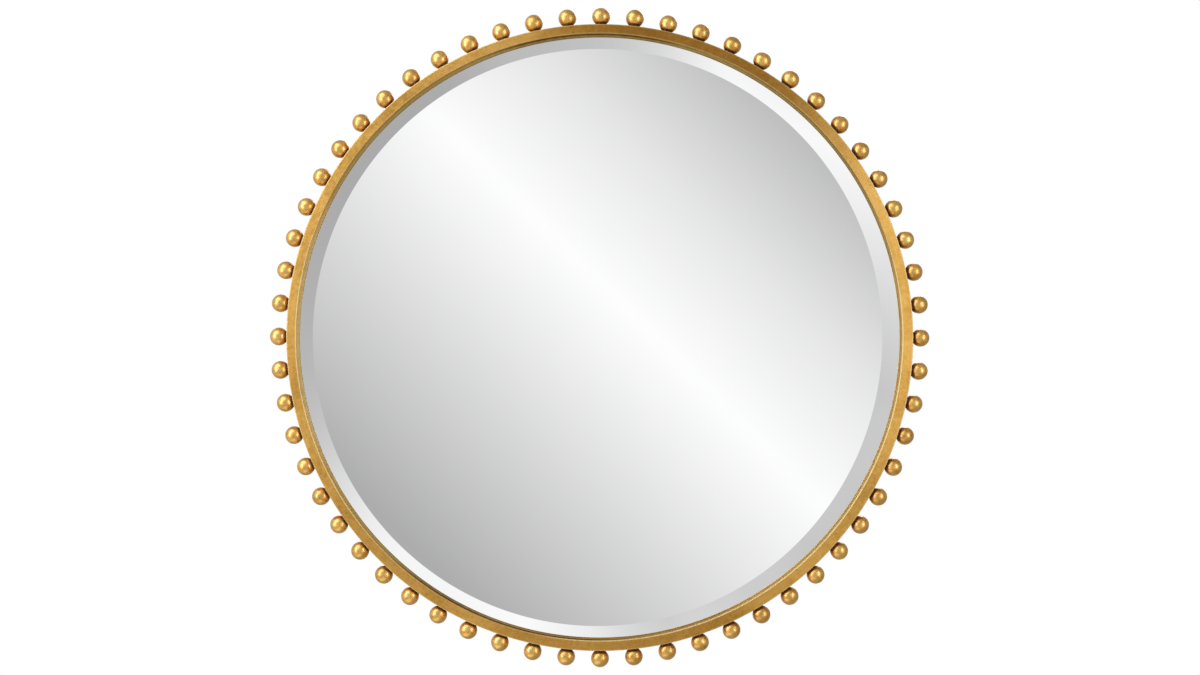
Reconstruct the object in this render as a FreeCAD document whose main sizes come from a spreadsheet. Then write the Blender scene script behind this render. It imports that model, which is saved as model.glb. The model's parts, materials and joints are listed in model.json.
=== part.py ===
import FreeCAD
import Part
import Sketcher
import math
import os

# Round wall mirror: an iron hoop set with welded balls, round a bevelled mirror pane.
# The mirror is upright. +Z is up, the pane looks along -Y, and the wall is the plane Y = 0.
# Angles round the rim run clockwise from the top, as seen from the front. Lengths are in mm.

SIZES = {
    # hoop: a band on its edge, with a bar inside it that widens the face
    "hoop_diameter": 914.4,
    "band_thickness": 6.0,
    "face_width": 14.0,
    "face_bar_depth": 6.0,
    "edge_round": 1.2,
    # flat ring behind the face bar, which keeps the glass in
    "lip_width": 4.0,
    "stop_thickness": 2.0,
    # balls welded round the band, set by hand: they drift from even places, by degrees clockwise,
    # in one wave that goes once round the rim and one that goes twice, each with its peak at an angle
    "ball_diameter": 26.2,
    "ball_sink": 0.8,
    "ball_count": 60,
    "balls_in_group": 5,
    "ball_lead": 0.11,
    "drift_once": 0.16,
    "drift_once_peak": 341.0,
    "drift_twice": 0.27,
    "drift_twice_peak": 46.0,
    "weld_fillet": 1.2,
    "weld_edge": 0.3,
    # mirror pane
    "glass_clearance": 5.8,
    "glass_shift": 3.2,
    "glass_thickness": 5.0,
    "glass_edge": 2.0,
    "bevel_width": 26.0,
    "felt_gap": 0.8,
    "felt_width": 1.6,
    "block_width": 40.0,
    "block_angle": 20.0,
    # board behind the pane, on foam pads
    "foam_thickness": 1.2,
    "pad_count": 6,
    "pad_width": 30.0,
    "pad_length": 160.0,
    "pad_start": 130.0,
    "board_thickness": 12.0,
    "board_clearance": 1.5,
    # lugs welded to the band, and the screws
    "lug_count": 8,
    "lug_width": 16.0,
    "lug_length": 32.0,
    "lug_thickness": 1.5,
    "lug_weld": 4.5,
    "screw_diameter": 3.0,
    "screw_tip": 2.0,
    "screw_cover": 2.0,
    "screw_clearance": 0.25,
    "pilot_clearance": 0.05,
    "head_diameter": 6.5,
    "head_height": 1.8,
    # hangers: a folded strap and the D-ring that swings in its loop
    "hanger_spacing": 406.4,
    "hanger_rise": 190.0,
    "strap_width": 16.0,
    "strap_sheet": 1.0,
    "strap_margin": 3.0,
    "strap_pitch": 12.0,
    "ring_wire": 3.0,
    "ring_corner": 3.0,
    "ring_side_gap": 0.5,
    "ring_leg": 5.0,
    "ring_joint_gap": 0.6,
    "ring_rest_gap": 0.3,
    "hinge_clearance": 0.08,
    # rubber bumpers that stand on the wall
    "bumper_count": 4,
    "bumper_height": 6.0,
    "bumper_diameter": 14.0,
    "bumper_face": 10.0,
    "bumper_round": 0.8,
    "bumper_inset": 35.0,
}

# Places and sizes that follow from the sizes above.
LAYOUT = {
    "hoop_radius": "sizes.hoop_diameter / 2",
    "band_inner": "hoop_radius - sizes.band_thickness",
    "face_inner": "hoop_radius - sizes.face_width",
    "lip_radius": "face_inner - sizes.lip_width",
    "glass_radius": "band_inner - sizes.glass_clearance",
    "bevel_radius": "glass_radius - sizes.bevel_width",
    "bevel_slope": "(sizes.glass_thickness - sizes.glass_edge) / sizes.bevel_width",
    "felt_radius": "glass_radius - sizes.felt_width",
    "board_radius": "band_inner - sizes.board_clearance",
    "rear_y": "-sizes.bumper_height",
    "board_front_y": "rear_y - sizes.board_thickness",
    "glass_back_y": "board_front_y - sizes.foam_thickness",
    "glass_edge_y": "glass_back_y - sizes.glass_edge",
    "glass_front_y": "glass_back_y - sizes.glass_thickness",
    "lip_drop": "max(0; lip_radius - sizes.glass_shift - bevel_radius) * bevel_slope",
    "stop_back_y": "glass_front_y + lip_drop - sizes.felt_gap",
    "stop_front_y": "stop_back_y - sizes.stop_thickness",
    "front_y": "stop_front_y - sizes.face_bar_depth",
    "felt_back_y": "glass_edge_y - sizes.felt_width * bevel_slope",
    "ball_radius": "sizes.ball_diameter / 2",
    "ball_y": "(front_y + rear_y) / 2",
    "ball_z": "hoop_radius + ball_radius - sizes.ball_sink",
    "weld_reach": "ball_radius + sizes.weld_fillet",
    "weld_drop": "ball_radius - sizes.ball_sink - sizes.weld_edge - sizes.weld_fillet",
    "foot_radius": "sqrt(weld_reach * weld_reach - weld_drop * weld_drop)",
    "lug_top": "band_inner + sizes.lug_weld",
    "lug_screw_z": "lug_top - sizes.lug_length + sizes.lug_width / 2",
    "lug_rear_y": "rear_y + sizes.lug_thickness",
    "screw_length": "sizes.lug_thickness + sizes.board_thickness - sizes.screw_cover",
    "screw_hole": "sizes.screw_diameter / 2 + sizes.screw_clearance",
    "pilot_radius": "sizes.screw_diameter / 2 + sizes.pilot_clearance",
    "bore_radius": "sizes.ring_wire / 2 + sizes.hinge_clearance",
    "loop_radius": "bore_radius + sizes.strap_sheet",
    "strap_thickness": "2 * sizes.strap_sheet",
    "hinge_x": "sizes.hanger_spacing / 2",
    "hinge_y": "rear_y + loop_radius",
    "ring_half": "sizes.strap_width / 2 + sizes.ring_corner + sizes.ring_side_gap",
    "ring_reach": "sizes.ring_leg + ring_half",
    "ring_rise": "strap_thickness + sizes.ring_rest_gap + sizes.ring_wire / 2 - loop_radius",
    "ring_tilt": "asin(ring_rise / ring_reach)",
    "strap_screw_a": "ring_reach + sizes.ring_wire / 2 + sizes.head_diameter / 2 + sizes.strap_margin",
    "strap_screw_b": "strap_screw_a + sizes.strap_pitch",
    "strap_length": "strap_screw_b + sizes.head_diameter / 2 + sizes.strap_margin",
    "bumper_z": "board_radius - sizes.bumper_inset",
}

doc = FreeCAD.newDocument("round_mirror")
pieces = []


def fill_sheet(name, cells):
    """Adds a sheet with one named cell in each row."""
    sheet = doc.addObject("Spreadsheet::Sheet", name)
    for row, (alias, content) in enumerate(cells.items(), start=1):
        sheet.set(f"A{row}", alias)
        sheet.set(f"B{row}", content)
        sheet.setAlias(f"B{row}", alias)
    doc.recompute()
    return sheet


sizes = fill_sheet("sizes", {alias: str(number) for alias, number in SIZES.items()})
layout = fill_sheet("layout", {alias: f"={formula}" for alias, formula in LAYOUT.items()})


def number(expression):
    """The present value of an expression."""
    found = sizes.evalExpression(str(expression))
    return float(getattr(found, "Value", found))


def keep(piece):
    """Lists an object as a finished piece, which gets a file of its own."""
    pieces.append(piece)
    return piece


def spin(angle, x="0", y="0", z="0"):
    """Expression of a placement: moved by x, y, z and then turned clockwise about the mirror's axis."""
    turn = f"placement(vector(0; 0; 0); rotation(vector(0; 1; 0); {angle}))"
    move = f"placement(vector({x}; {y}; {z}); rotation(vector(0; 1; 0); 0))"
    return f"{turn} * {move}"


def new_body(label):
    body = doc.addObject("PartDesign::Body", label)
    body.Label = label
    return body


def new_sketch(body, plane, label):
    sketch = body.newObject("Sketcher::SketchObject", label)
    support = next(item for item in body.Origin.OriginFeatures if item.Role == plane)
    sketch.AttachmentSupport = [(support, "")]
    sketch.MapMode = "FlatFace"
    return sketch


def upright_sketch(body, y, label):
    """A sketch seen from the front, with X to the right and Z up, on the plane at the given y."""
    sketch = new_sketch(body, "XZ_Plane", label)
    sketch.setExpression("AttachmentOffset.Base.z", f"-({y})")
    return sketch


def bind(sketch, kind, place, expression):
    """Adds a measured constraint and ties it to an expression."""
    index = sketch.addConstraint(Sketcher.Constraint(kind, *place, number(expression)))
    sketch.setExpression(f"Constraints[{index}]", expression)


def pin(sketch, side, end, corner):
    """Holds one end of a side at a corner, given as two expressions measured from the origin."""
    for axis, kind, expression in ((-2, "DistanceX", corner[0]), (-1, "DistanceY", corner[1])):
        if expression == "0":
            sketch.addConstraint(Sketcher.Constraint("PointOnObject", side, end, axis))
        else:
            bind(sketch, kind, (-1, 1, side, end), expression)


def point(corner):
    return FreeCAD.Vector(number(corner[0]), number(corner[1]), 0)


def draw(sketch, corners, arcs=None, closed=True):
    """Draws sides from corner to corner.

    arcs gives, for the number of a side that is an arc, a point on it, a word and a measure:
    the arc's "Radius", or the height of its "Centre" for a half circle.
    """
    arcs = arcs or {}
    ends = []
    count = len(corners) if closed else len(corners) - 1
    for side in range(count):
        start = point(corners[side])
        stop = point(corners[(side + 1) % len(corners)])
        ends.append((1, 2))
        if side in arcs:
            middle = point(arcs[side][:2])
            if (middle - start).cross(stop - middle).z < 0:
                start, stop = stop, start
                ends[side] = (2, 1)
            sketch.addGeometry(Part.Arc(start, middle, stop), False)
        else:
            sketch.addGeometry(Part.LineSegment(start, stop), False)
    for side in range(count if closed else count - 1):
        after = (side + 1) % count
        sketch.addConstraint(Sketcher.Constraint("Coincident", side, ends[side][1], after, ends[after][0]))
    for side in range(count):
        pin(sketch, side, ends[side][0], corners[side])
        if side in arcs and arcs[side][2] == "Radius":
            bind(sketch, "Radius", (side,), arcs[side][3])
        elif side in arcs:
            bind(sketch, "DistanceY", (-1, 1, side, 3), arcs[side][3])
    if not closed:
        pin(sketch, count - 1, ends[-1][1], corners[-1])


def draw_circle(sketch, x, z, radius):
    place = FreeCAD.Vector(number(x), number(z), 0)
    circle = sketch.addGeometry(Part.Circle(place, FreeCAD.Vector(0, 0, 1), number(radius)), False)
    pin(sketch, circle, 3, (x, z))
    bind(sketch, "Radius", (circle,), radius)


def revolve(body, sketch, label):
    """Turns a sketch once round its own upright axis."""
    turned = body.newObject("PartDesign::Revolution", label)
    turned.Profile = sketch
    turned.ReferenceAxis = (sketch, ["V_Axis"])
    turned.Angle = 360
    sketch.Visibility = False
    return turned


def ring_body(label, corners):
    """A ring or disc about the mirror's axis, from the corners of its section as (radius, y)."""
    body = new_body(label)
    sketch = new_sketch(body, "XY_Plane", f"{label}_section")
    draw(sketch, corners)
    revolve(body, sketch, f"{label}_turned")
    doc.recompute()
    return body


def pad(body, sketch, label, length):
    """Thickens an upright sketch towards the wall."""
    plate = body.newObject("PartDesign::Pad", label)
    plate.Profile = sketch
    plate.setExpression("Length", length)
    plate.Reversed = True
    doc.recompute()
    return plate


def pocket(body, sketch, label, depth):
    """Cuts an upright sketch into the body, from the sketch towards the viewer."""
    cut = body.newObject("PartDesign::Pocket", label)
    cut.Profile = sketch
    cut.setExpression("Length", depth)
    cut.Reversed = True
    doc.recompute()
    return cut


def round_edges(body, label, radius, circles):
    """Rounds the circular edges given as (radius, y)."""
    names = []
    plain = body.Tip
    for index, edge in enumerate(plain.Shape.Edges, start=1):
        if not isinstance(edge.Curve, Part.Circle):
            continue
        for edge_radius, edge_y in circles:
            same_radius = abs(edge.Curve.Radius - number(edge_radius)) < 1e-4
            if same_radius and abs(edge.Curve.Center.y - number(edge_y)) < 1e-4:
                names.append(f"Edge{index}")
    fillet = body.newObject("PartDesign::Fillet", label)
    fillet.Base = (plain, names)
    fillet.setExpression("Radius", radius)
    doc.recompute()


def primitive(kind, label, measures, placement):
    """A block or cylinder with its measures and its place bound to expressions."""
    solid = doc.addObject(f"Part::{kind}", label)
    for measure, expression in measures.items():
        solid.setExpression(measure, expression)
    solid.setExpression("Placement", placement)
    return solid


def boolean(kind, label, base, tool):
    result = doc.addObject(f"Part::{kind}", label)
    result.Base = base
    result.Tool = tool
    return result


def copies(label, source, placements):
    """A group of separate solids that are copies of one source, as one piece."""
    links = []
    for index, placement in enumerate(placements, start=1):
        link = doc.addObject("App::Link", f"{label}_copy_{index}")
        link.LinkedObject = source
        link.setExpression("Placement", placement)
        links.append(link)
    group = doc.addObject("Part::Compound", label)
    group.Label = label
    group.Links = links
    return keep(group)


def make_hoop():
    band = ring_body("hoop_band", [
        ("layout.band_inner", "layout.front_y"),
        ("layout.hoop_radius", "layout.front_y"),
        ("layout.hoop_radius", "layout.rear_y"),
        ("layout.band_inner", "layout.rear_y"),
    ])
    round_edges(band, "hoop_band_edges", "sizes.edge_round", [
        ("layout.hoop_radius", "layout.front_y"),
        ("layout.hoop_radius", "layout.rear_y"),
    ])
    keep(band)
    bar = ring_body("face_bar", [
        ("layout.face_inner", "layout.front_y"),
        ("layout.band_inner", "layout.front_y"),
        ("layout.band_inner", "layout.stop_front_y"),
        ("layout.face_inner", "layout.stop_front_y"),
    ])
    round_edges(bar, "face_bar_edge", "sizes.edge_round", [("layout.face_inner", "layout.front_y")])
    keep(bar)
    keep(ring_body("glass_stop", [
        ("layout.lip_radius", "layout.stop_front_y"),
        ("layout.band_inner", "layout.stop_front_y"),
        ("layout.band_inner", "layout.stop_back_y"),
        ("layout.lip_radius", "layout.stop_back_y"),
    ]))


def make_ball():
    """One ball at the top of the rim, ground a little flat below, with a weld foot seated on the band."""
    body = new_body("ball_blank")
    sketch = upright_sketch(body, "layout.ball_y", "ball_section")
    below = "layout.hoop_radius - sizes.weld_edge"
    tangent = (
        "layout.ball_radius * layout.foot_radius / layout.weld_reach",
        "layout.ball_z - layout.ball_radius * layout.weld_drop / layout.weld_reach",
    )
    lean = math.atan2(number("layout.weld_drop"), number("layout.foot_radius"))
    middle = (lean - math.pi / 2) / 2
    fillet_point = (
        f"layout.foot_radius - sizes.weld_fillet * {math.cos(middle)}",
        f"layout.hoop_radius + sizes.weld_edge + sizes.weld_fillet * {1 + math.sin(middle)}",
    )
    draw(sketch, [
        ("0", "layout.ball_z + layout.ball_radius"),
        tangent,
        ("layout.foot_radius", "layout.hoop_radius + sizes.weld_edge"),
        ("layout.foot_radius", below),
        ("0", below),
    ], {
        0: ("layout.ball_radius", "layout.ball_z", "Radius", "layout.ball_radius"),
        1: (*fillet_point, "Radius", "sizes.weld_fillet"),
    })
    revolve(body, sketch, "ball_turned")
    seat = primitive("Cylinder", "ball_seat", {
        "Radius": "layout.hoop_radius",
        "Height": "layout.rear_y - layout.front_y",
    }, "placement(vector(0; layout.front_y; 0); rotation(vector(1; 0; 0); -90))")
    return boolean("Cut", "ball", body, seat)


def ball_angle(index):
    """Where a ball stands: its even place, the lead of all the balls, and the two waves of drift."""
    even = f"360 / sizes.ball_count * {index}"
    once = f"sizes.drift_once * cos({even} - sizes.drift_once_peak)"
    twice = f"sizes.drift_twice * cos(2 * ({even} - sizes.drift_twice_peak))"
    return f"{even} + sizes.ball_lead + {once} + {twice}"


def make_balls():
    """All the balls, in groups that follow each other round the rim."""
    ball = make_ball()
    count = int(number("sizes.ball_count"))
    group_size = int(number("sizes.balls_in_group"))
    angles = [ball_angle(index) for index in range(count)]
    for group, first in enumerate(range(0, count, group_size), start=1):
        copies(f"balls_{group:02d}", ball, [spin(angle) for angle in angles[first:first + group_size]])


def make_glass():
    off_centre = "placement(vector(-sizes.glass_shift; 0; 0); rotation(vector(0; 1; 0); 0))"
    glass = ring_body("mirror_glass", [
        ("0", "layout.glass_front_y"),
        ("layout.bevel_radius", "layout.glass_front_y"),
        ("layout.glass_radius", "layout.glass_edge_y"),
        ("layout.glass_radius", "layout.glass_back_y"),
        ("0", "layout.glass_back_y"),
    ])
    glass.setExpression("Placement", off_centre)
    keep(glass)
    felt = ring_body("felt_gasket", [
        ("layout.felt_radius", "layout.stop_back_y"),
        ("layout.glass_radius", "layout.stop_back_y"),
        ("layout.glass_radius", "layout.glass_edge_y"),
        ("layout.felt_radius", "layout.felt_back_y"),
    ])
    felt.setExpression("Placement", off_centre)
    keep(felt)


def make_block(label, angle):
    """A setting block that fills the rebate under the glass, at an angle from the bottom."""
    depth = "layout.board_front_y - layout.glass_edge_y"
    block = primitive("Box", f"{label}_blank", {
        "Length": "sizes.block_width",
        "Width": depth,
        "Height": "4 * sizes.glass_clearance",
    }, spin(f"180 + {angle}", "-sizes.block_width / 2", "layout.glass_edge_y",
            "layout.hoop_radius - 4 * sizes.glass_clearance"))
    turned = "rotation(vector(1; 0; 0); -90)"
    rebate = primitive("Cylinder", f"{label}_rebate", {
        "Radius": "layout.band_inner",
        "Height": depth,
    }, f"placement(vector(0; layout.glass_edge_y; 0); {turned})")
    pane = primitive("Cylinder", f"{label}_pane", {
        "Radius": "layout.glass_radius",
        "Height": depth,
    }, f"placement(vector(-sizes.glass_shift; layout.glass_edge_y; 0); {turned})")
    inside = boolean("Common", f"{label}_inside", block, rebate)
    keep(boolean("Cut", label, inside, pane))


def make_pads():
    count = int(number("sizes.pad_count"))
    for index in range(count):
        keep(primitive("Box", f"foam_pad_{index + 1}", {
            "Length": "sizes.pad_width",
            "Width": "sizes.foam_thickness",
            "Height": "sizes.pad_length",
        }, spin(f"360 / sizes.pad_count * {index}", "-sizes.pad_width / 2", "layout.glass_back_y",
                "sizes.pad_start")))


def make_board():
    """The board, with a pilot hole for each lug screw and each strap screw."""
    body = new_body("backing_board")
    outline = upright_sketch(body, "layout.board_front_y", "board_outline")
    draw_circle(outline, "0", "0", "layout.board_radius")
    pad(body, outline, "board_plate", "sizes.board_thickness")
    depth = "layout.screw_length"
    strap_pilots = upright_sketch(body, "layout.rear_y", "strap_pilots")
    for x in ("-layout.hinge_x", "layout.hinge_x"):
        for drop in ("layout.strap_screw_a", "layout.strap_screw_b"):
            draw_circle(strap_pilots, x, f"sizes.hanger_rise - ({drop})", "layout.pilot_radius")
    pocket(body, strap_pilots, "strap_pilot_holes", depth)
    lug_pilot = upright_sketch(body, "layout.rear_y", "lug_pilot")
    half_step = "180 / sizes.lug_count"
    draw_circle(lug_pilot, f"layout.lug_screw_z * sin({half_step})", f"layout.lug_screw_z * cos({half_step})",
                "layout.pilot_radius")
    hole = pocket(body, lug_pilot, "lug_pilot_hole", depth)
    pattern = body.newObject("PartDesign::PolarPattern", "lug_pilot_holes")
    pattern.Originals = [hole]
    axis = next(item for item in body.Origin.OriginFeatures if item.Role == "Y_Axis")
    pattern.Axis = (axis, [""])
    pattern.Angle = 360
    pattern.setExpression("Occurrences", "sizes.lug_count")
    body.Tip = pattern
    doc.recompute()
    keep(body)


def make_lugs():
    count = int(number("sizes.lug_count"))
    half = "sizes.lug_width / 2"
    for index in range(count):
        label = f"lug_{index + 1}"
        body = new_body(label)
        outline = upright_sketch(body, "layout.rear_y", f"{label}_outline")
        draw(outline, [
            (f"-{half}", "layout.lug_top"),
            (half, "layout.lug_top"),
            (half, "layout.lug_screw_z"),
            (f"-{half}", "layout.lug_screw_z"),
        ], {2: ("0", f"layout.lug_screw_z - {half}", "Centre", "layout.lug_screw_z")})
        pad(body, outline, f"{label}_plate", "sizes.lug_thickness")
        hole = upright_sketch(body, "layout.lug_rear_y", f"{label}_screw")
        draw_circle(hole, "0", "layout.lug_screw_z", "layout.screw_hole")
        body.Tip = pocket(body, hole, f"{label}_hole", "2 * sizes.lug_thickness")
        body.setExpression("Placement", spin(f"180 / sizes.lug_count * {2 * index + 1}"))
        keep(body)


def make_screw():
    """A pan-head screw whose head sits on the plane Y = 0 and whose shank runs along -Y."""
    body = new_body("pan_screw")
    section = new_sketch(body, "XY_Plane", "screw_section")
    shank = "sizes.screw_diameter / 2"
    head = "sizes.head_diameter / 2"
    draw(section, [
        ("0", "-layout.screw_length"),
        (shank, "sizes.screw_tip - layout.screw_length"),
        (shank, "0"),
        (head, "0"),
        (head, "sizes.head_height / 2"),
        (f"{head} - sizes.head_height / 2", "sizes.head_height"),
        ("0", "sizes.head_height"),
    ], {4: (
        f"{head} - sizes.head_height / 2 * {1 - math.sqrt(0.5)}",
        f"sizes.head_height / 2 * {1 + math.sqrt(0.5)}",
        "Radius",
        "sizes.head_height / 2",
    )})
    revolve(body, section, "screw_turned")
    doc.recompute()
    return body


def make_screws():
    screw = make_screw()
    count = int(number("sizes.lug_count"))
    copies("lug_screws", screw, [
        spin(f"180 / sizes.lug_count * {2 * index + 1}", "0", "layout.lug_rear_y", "layout.lug_screw_z")
        for index in range(count)
    ])
    copies("hanger_screws", screw, [
        spin("0", x, "layout.rear_y + layout.strap_thickness", f"sizes.hanger_rise - ({drop})")
        for x in ("-layout.hinge_x", "layout.hinge_x")
        for drop in ("layout.strap_screw_a", "layout.strap_screw_b")
    ])


def make_strap(label, x):
    """A folded strap: two leaves that lie together below a loop, with two screw holes."""
    half = "sizes.strap_width / 2"
    leaf = primitive("Box", f"{label}_leaf", {
        "Length": "sizes.strap_width",
        "Width": "layout.strap_thickness",
        "Height": "layout.strap_length",
    }, spin("0", f"-{half}", "-layout.loop_radius", "-layout.strap_length"))
    along = f"placement(vector(-{half}; 0; 0); rotation(vector(0; 1; 0); 90))"
    loop = primitive("Cylinder", f"{label}_loop", {
        "Radius": "layout.loop_radius",
        "Height": "sizes.strap_width",
    }, along)
    bore = primitive("Cylinder", f"{label}_bore", {
        "Radius": "layout.bore_radius",
        "Height": "sizes.strap_width",
    }, along)
    strap = boolean("Cut", f"{label}_bored", boolean("Fuse", f"{label}_joined", leaf, loop), bore)
    for name, drop in (("a", "layout.strap_screw_a"), ("b", "layout.strap_screw_b")):
        hole = primitive("Cylinder", f"{label}_hole_{name}", {
            "Radius": "layout.screw_hole",
            "Height": "3 * layout.strap_thickness",
        }, f"placement(vector(0; -layout.loop_radius - layout.strap_thickness; -({drop})); "
           "rotation(vector(1; 0; 0); -90))")
        strap = boolean("Cut", f"{label}_cut_{name}", strap, hole)
    strap.Label = label
    strap.setExpression("Placement", spin("0", x, "layout.hinge_y", "sizes.hanger_rise"))
    keep(strap)


def make_ring(label, x):
    """A D-ring of round wire. Its two ends meet inside the loop, and it hangs against the strap."""
    body = new_body(label)
    path = upright_sketch(body, "0", f"{label}_path")
    half = "layout.ring_half"
    corner = "sizes.ring_corner"
    leg = "-sizes.ring_leg"
    bend = 1 - math.sqrt(0.5)
    draw(path, [
        ("sizes.ring_joint_gap / 2", "0"),
        (f"{half} - {corner}", "0"),
        (half, f"-{corner}"),
        (half, leg),
        (f"-{half}", leg),
        (f"-{half}", f"-{corner}"),
        (f"{corner} - {half}", "0"),
        ("-sizes.ring_joint_gap / 2", "0"),
    ], {
        1: (f"{half} - {corner} * {bend}", f"-{corner} * {bend}", "Radius", corner),
        3: ("0", f"{leg} - {half}", "Centre", leg),
        5: (f"{corner} * {bend} - {half}", f"-{corner} * {bend}", "Radius", corner),
    }, closed=False)
    wire = new_sketch(body, "YZ_Plane", f"{label}_wire")
    wire.setExpression("AttachmentOffset.Base.z", "sizes.ring_joint_gap / 2")
    draw_circle(wire, "0", "0", "sizes.ring_wire / 2")
    doc.recompute()
    pipe = body.newObject("PartDesign::AdditivePipe", f"{label}_pipe")
    pipe.Profile = wire
    pipe.Spine = path
    body.setExpression("Placement", f"placement(vector({x}; layout.hinge_y; sizes.hanger_rise); "
                       "rotation(vector(1; 0; 0); layout.ring_tilt))")
    doc.recompute()
    keep(body)


def make_bumpers():
    count = int(number("sizes.bumper_count"))
    base = "sizes.bumper_diameter / 2"
    face = "sizes.bumper_face / 2"
    for index in range(count):
        label = f"bumper_{index + 1}"
        body = ring_body(label, [
            ("0", "layout.rear_y"),
            (base, "layout.rear_y"),
            (face, "0"),
            ("0", "0"),
        ])
        round_edges(body, f"{label}_edge", "sizes.bumper_round", [(face, "0")])
        body.setExpression("Placement", spin(f"180 / sizes.bumper_count * {2 * index + 1}", "0", "0",
                                             "layout.bumper_z"))
        keep(body)


def check():
    """Stops the run if any object failed or any piece is not a sound solid."""
    doc.recompute()
    for item in doc.Objects:
        if "Invalid" in item.State or "Error" in item.State:
            raise RuntimeError(f"{item.Label} failed: {item.State}")
    for piece in pieces:
        if piece.Shape.isNull() or not piece.Shape.isValid() or not piece.Shape.Solids:
            raise RuntimeError(f"{piece.Label} is not a sound solid")


def write():
    os.makedirs("parts", exist_ok=True)
    for piece in pieces:
        piece.Shape.exportStep(f"parts/{piece.Label}.step")


make_hoop()
make_balls()
make_glass()
make_block("setting_block_left", "sizes.block_angle")
make_block("setting_block_right", "-sizes.block_angle")
make_pads()
make_board()
make_lugs()
make_screws()
make_strap("hanger_strap_left", "-layout.hinge_x")
make_strap("hanger_strap_right", "layout.hinge_x")
make_ring("d_ring_left", "-layout.hinge_x")
make_ring("d_ring_right", "layout.hinge_x")
make_bumpers()
check()
write()
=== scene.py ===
"""A round wall mirror: a bevelled pane in a gilded iron hoop, balls welded round the rim, fittings behind.

Shapes are worked out in millimetres and laid into the meshes in metres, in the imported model's frame:
X to the right, Y from the pane to the wall, Z up, origin on the wall plane at the mirror's axis.
Angles round the hoop run clockwise from the top, as seen from the front.
"""
import json
import math

import bmesh
import bpy
import numpy as np
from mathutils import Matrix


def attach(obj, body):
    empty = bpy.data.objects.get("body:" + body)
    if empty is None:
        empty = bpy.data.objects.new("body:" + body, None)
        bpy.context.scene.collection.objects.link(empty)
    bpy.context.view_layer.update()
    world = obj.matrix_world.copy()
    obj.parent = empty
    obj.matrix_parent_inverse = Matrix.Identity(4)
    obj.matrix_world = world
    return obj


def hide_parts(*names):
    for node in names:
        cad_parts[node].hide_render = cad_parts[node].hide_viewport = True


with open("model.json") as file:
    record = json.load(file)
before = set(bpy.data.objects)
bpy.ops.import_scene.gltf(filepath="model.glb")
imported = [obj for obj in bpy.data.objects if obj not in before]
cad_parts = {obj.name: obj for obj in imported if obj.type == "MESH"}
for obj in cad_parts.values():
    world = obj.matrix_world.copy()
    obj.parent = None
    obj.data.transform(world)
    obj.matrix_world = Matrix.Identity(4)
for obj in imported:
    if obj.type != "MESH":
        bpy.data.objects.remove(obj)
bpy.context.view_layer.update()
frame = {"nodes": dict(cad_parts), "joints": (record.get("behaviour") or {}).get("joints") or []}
scene = bpy.context.scene
MM = 0.001


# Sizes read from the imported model, in millimetres

def node_points(node):
    """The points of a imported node."""
    mesh = frame["nodes"][node].data
    points = np.empty(3 * len(mesh.vertices))
    mesh.vertices.foreach_get("co", points)
    return points.reshape(-1, 3) / MM


def ring_sizes(node):
    """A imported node's smallest and largest distance from the Y axis, then its foremost and rearmost Y."""
    x, y, z = node_points(node).T
    radius = np.hypot(x, z)
    return [round(float(size), 3) for size in (radius.min(), radius.max(), y.min(), y.max())]


BAND_INNER, HOOP_RADIUS, FRONT_Y, REAR_Y = ring_sizes("hoop_band")
FACE_INNER = ring_sizes("face_bar")[0]
LIP_RADIUS, _, STOP_FRONT_Y, STOP_BACK_Y = ring_sizes("glass_stop")
_, _, GLASS_FRONT_Y, GLASS_BACK_Y = ring_sizes("mirror_glass")
GLASS_EDGE_Y = ring_sizes("felt_gasket")[3]
BOARD_FRONT_Y = ring_sizes("backing_board")[2]
LUG_REAR_Y = ring_sizes("lug_1")[3]
hinges = {joint["child"]: joint["pos_m"] for joint in frame["joints"]}
HINGE_X, HINGE_Y, HINGE_Z = [round(place / MM, 3) for place in hinges["right_ring"]]


# Sizes of the dressed pieces, in millimetres and degrees

MERGE_GAP = 0.002
HOOP_STEPS = 720
EDGE_ROUND = 1.2
GLASS_RADIUS = 445.4
GLASS_SHIFT = -3.2
GLASS_ARRIS = 0.3
BEVEL_RADIUS = 419.4
BEVEL_HALF_WIDTH = 416.1
BEVEL_HALF_HEIGHT = 421.7
BEVEL_SLOPE = (GLASS_EDGE_Y - GLASS_FRONT_Y) / (GLASS_RADIUS - BEVEL_RADIUS)
FELT_WIDTH = 1.6
BALL_COUNT = 60
BALL_GROUP = 5
BALL_STEP = 360.0 / BALL_COUNT
BALL_RADIUS = 13.1
BALL_RISE = 12.3
BALL_Y = (FRONT_Y + REAR_Y) / 2
WELD_FILLET = 1.2
WELD_DROP = 10.8
FOOT_RADIUS = round(math.sqrt((BALL_RADIUS + WELD_FILLET) ** 2 - WELD_DROP ** 2), 3)
BLOCK_HALF = 20.0
PAD_COUNT = 6
PAD_HALF = 15.0
PAD_START = 130.0
PAD_END = 290.0
PAD_THICK = 1.2
LUG_COUNT = 8
LUG_STEP = 360.0 / LUG_COUNT
LUG_FIRST = LUG_STEP / 2
LUG_HALF = 8.0
LUG_TOP = HOOP_RADIUS - 1.5
LUG_SCREW = LUG_TOP - 24.0
LUG_HOLE = 1.75
STRAP_HALF = 8.0
STRAP_HALF_THICK = 0.5
STRAP_REAR_Y = REAR_Y + 4 * STRAP_HALF_THICK
STRAP_SCREWS = (HINGE_Z - 24.25, HINGE_Z - 36.25)
STRAP_FOOT = -42.5
RING_HALF = 11.5
RING_CORNER = 3.0
RING_LEG = 5.0
RING_WIRE = 1.5
RING_TILT = math.radians(4.24)
BUMPER_COUNT = 4
BUMPER_CIRCLE = 414.7


# Mesh building

def smooth(low, high, value):
    """Rises from 0 to 1 between low and high: t * t * (3 - 2 t) of the clipped share t."""
    t = np.clip((value - low) / (high - low), 0.0, 1.0)
    return t * t * (3.0 - 2.0 * t)


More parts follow.
